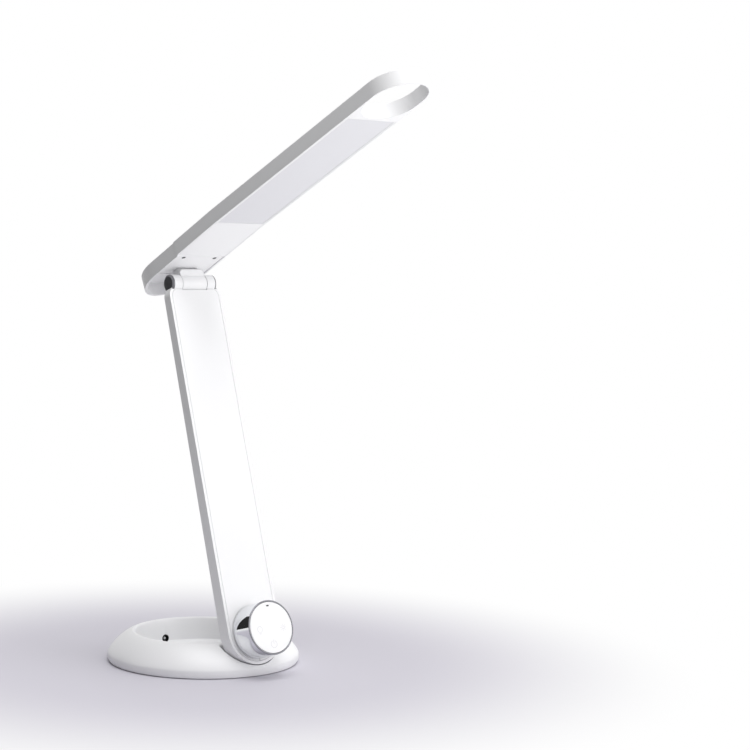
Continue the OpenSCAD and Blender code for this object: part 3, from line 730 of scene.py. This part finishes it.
class LAMP_OT_stage(bpy.types.Operator):
    """Pale floor, soft lights, surroundings and the camera"""

    bl_idname = "lamp.stage"
    bl_label = "Stage"

    def execute(self, context):
        scene = context.scene
        stage = scene.lamp_stage
        scene.view_settings.view_transform = "Standard"
        self.floor(stage)
        self.surroundings(scene, stage)
        self.area("key", (1.1, -1.8, 0.55), (0, -0.05, 0.25), 1.6, stage.key_power)
        self.area("overhead", (-0.15, -0.35, 1.9), (0, 0, 0.1), 1.4, stage.top_power)
        self.card("black_card", (-0.62, 0.78, 0.2), (0, -0.07, 0.05), 0.7, 0.5)
        self.camera(scene, stage)
        return {"FINISHED"}

    def background_ray(self, paint):
        """1 for what the camera, a mirror or clear plastic sees, 0 for light on the lamp."""
        camera = paint.node("LightPath", output="Is Camera Ray")
        glossy = paint.node("LightPath", output="Is Glossy Ray")
        through = paint.node("LightPath", output="Is Transmission Ray")
        return 1 - (1 - camera) * (1 - glossy) * (1 - through)

    def toward_light(self, paint, place, dim, bright, reach):
        """Brightness that grows from the dim side to the bright side of a place or direction."""
        along = paint.along(place, TOWARD_LIGHT)
        return paint.node(
            "MapRange",
            {"interpolation_type": "SMOOTHSTEP"},
            {"Value": along, "From Min": -reach, "From Max": reach, "To Min": dim, "To Max": bright},
        )

    def floor(self, stage):
        paint = Paint("studio_floor")
        grain = paint.noise(900.0, 3.0)
        seen = self.background_ray(paint)
        spot = paint.node("VectorMath", {"operation": "LENGTH"}, {0: paint.place()}, output="Value")
        far = paint.node(
            "MapRange",
            {"interpolation_type": "SMOOTHSTEP"},
            {"Value": spot, "From Min": 0.16, "From Max": 0.42},
        )
        matt = paint.node(
            "BsdfPrincipled",
            None,
            {
                "Base Color": rgba(stage.floor_colour),
                "Roughness": 0.7,
                "Normal": paint.bump(grain, 0.1, 0.00002),
            },
        )
        unseen = self.toward_light(paint, paint.place(), stage.dim_side, stage.under_light, 0.45)
        white = paint.node("Emission", None, {"Color": (1, 1, 1, 1), "Strength": 1.0})
        glow = paint.node("Emission", None, {"Color": (1, 1, 1, 1), "Strength": unseen})
        either = paint.node("MixShader", None, {0: seen, 1: glow, 2: white})
        both = paint.node("MixShader", None, {0: far, 1: matt, 2: either})
        material = paint.end(both)
        bm = bmesh.new()
        bmesh.ops.create_grid(bm, x_segments=1, y_segments=1, size=6.0)
        mesh = bpy.data.meshes.new("floor")
        bm.to_mesh(mesh)
        bm.free()
        mesh.materials.append(material)
        plane = bpy.data.objects.new("floor", mesh)
        bpy.context.scene.collection.objects.link(plane)

    def surroundings(self, scene, stage):
        world = bpy.data.worlds.new("studio")
        scene.world = world
        world.use_nodes = True
        paint = Paint("studio", world.node_tree)
        direction = paint.node("TexCoord", output="Generated")
        unseen = self.toward_light(paint, direction, stage.dim_side, stage.bright_side, 0.75)
        seen = self.background_ray(paint)
        level = seen * (1 - unseen) + unseen
        light = paint.node("Background", None, {"Color": (1, 1, 1, 1), "Strength": level})
        paint.end(light, "OutputWorld")

    def card(self, name, centre, towards, width, height):
        """Upright black card that the chrome mirrors."""
        paint = Paint(name)
        felt = paint.noise(300.0, 3.0)
        shade = paint.mix_colour(felt, (0.006, 0.006, 0.006, 1), (0.012, 0.012, 0.012, 1))
        material = paint.end(paint.node("BsdfPrincipled", None, {"Base Color": shade, "Roughness": 0.9}))
        bm = bmesh.new()
        bmesh.ops.create_grid(bm, x_segments=1, y_segments=1, size=0.5)
        mesh = bpy.data.meshes.new(name)
        bm.to_mesh(mesh)
        bm.free()
        mesh.materials.append(material)
        card = bpy.data.objects.new(name, mesh)
        card.location = centre
        card.rotation_euler = (Vector(towards) - Vector(centre)).to_track_quat("Z", "Y").to_euler()
        card.scale = (width, height, 1)
        card.visible_camera = False
        bpy.context.scene.collection.objects.link(card)

    def area(self, name, at, towards, size, power):
        data = bpy.data.lights.new(name, "AREA")
        data.shape = "DISK"
        data.size = size
        data.energy = power
        lamp = bpy.data.objects.new(name, data)
        lamp.location = at
        lamp.rotation_euler = (Vector(towards) - Vector(at)).to_track_quat("-Z", "Y").to_euler()
        bpy.context.scene.collection.objects.link(lamp)

    def camera(self, scene, stage):
        distance, turn, rise = 1.70404, math.radians(35.9), math.radians(11.77)
        heading, pitch, roll = math.radians(40.66), math.radians(3.6), math.radians(1.39)
        flat = math.cos(rise)
        back = Vector((-math.sin(turn) * flat, -math.cos(turn) * flat, math.sin(rise)))
        level = math.cos(pitch)
        forward = Vector((math.sin(heading) * level, math.cos(heading) * level, -math.sin(pitch)))
        right = Vector((math.cos(heading), -math.sin(heading), 0))
        up = right.cross(forward)
        right, up = (
            right * math.cos(roll) + up * math.sin(roll),
            up * math.cos(roll) - right * math.sin(roll),
        )
        data = bpy.data.cameras.new("camera")
        data.sensor_width = 36.0
        data.lens = stage.focal_length
        data.clip_start, data.clip_end = 0.05, 50.0
        camera = bpy.data.objects.new("camera", data)
        rotation = Matrix((right, up, -forward)).transposed().to_4x4()
        camera.matrix_world = Matrix.Translation(back * distance) @ rotation
        scene.collection.objects.link(camera)
        scene.camera = camera


class LAMP_PT_panel(bpy.types.Panel):
    """Lists the lamp's settings and the steps that build its looks"""

    bl_idname = "LAMP_PT_panel"
    bl_label = "Desk lamp"
    bl_space_type = "VIEW_3D"
    bl_region_type = "UI"
    bl_category = "Desk lamp"

    def draw(self, context):
        for group in (context.scene.lamp_sizes, context.scene.lamp_colours, context.scene.lamp_stage):
            column = self.layout.column(align=True)
            for name in group.__annotations__:
                column.prop(group, name)
        for step in STEPS:
            self.layout.operator(step.bl_idname)


STEPS = (
    LAMP_OT_base,
    LAMP_OT_base_hardware,
    LAMP_OT_arm,
    LAMP_OT_dial,
    LAMP_OT_touch_face,
    LAMP_OT_upper_hinge,
    LAMP_OT_head,
    LAMP_OT_light_panel,
    LAMP_OT_stage,
)
GROUPS = {"lamp_sizes": LampSizes, "lamp_colours": LampColours, "lamp_stage": StageSettings}


def register():
    for group in GROUPS.values():
        bpy.utils.register_class(group)
    for name, group in GROUPS.items():
        setattr(bpy.types.Scene, name, PointerProperty(type=group))
    for step in STEPS:
        bpy.utils.register_class(step)
    bpy.utils.register_class(LAMP_PT_panel)


def unregister():
    bpy.utils.unregister_class(LAMP_PT_panel)
    for step in reversed(STEPS):
        bpy.utils.unregister_class(step)
    for name, group in GROUPS.items():
        delattr(bpy.types.Scene, name)
        bpy.utils.unregister_class(group)


def main():
    register()
    for step in STEPS:
        family, name = step.bl_idname.split(".")
        if getattr(getattr(bpy.ops, family), name)() != {"FINISHED"}:
            raise RuntimeError(f"{step.bl_label} was not finished")


if __name__ == "__main__":
    main()
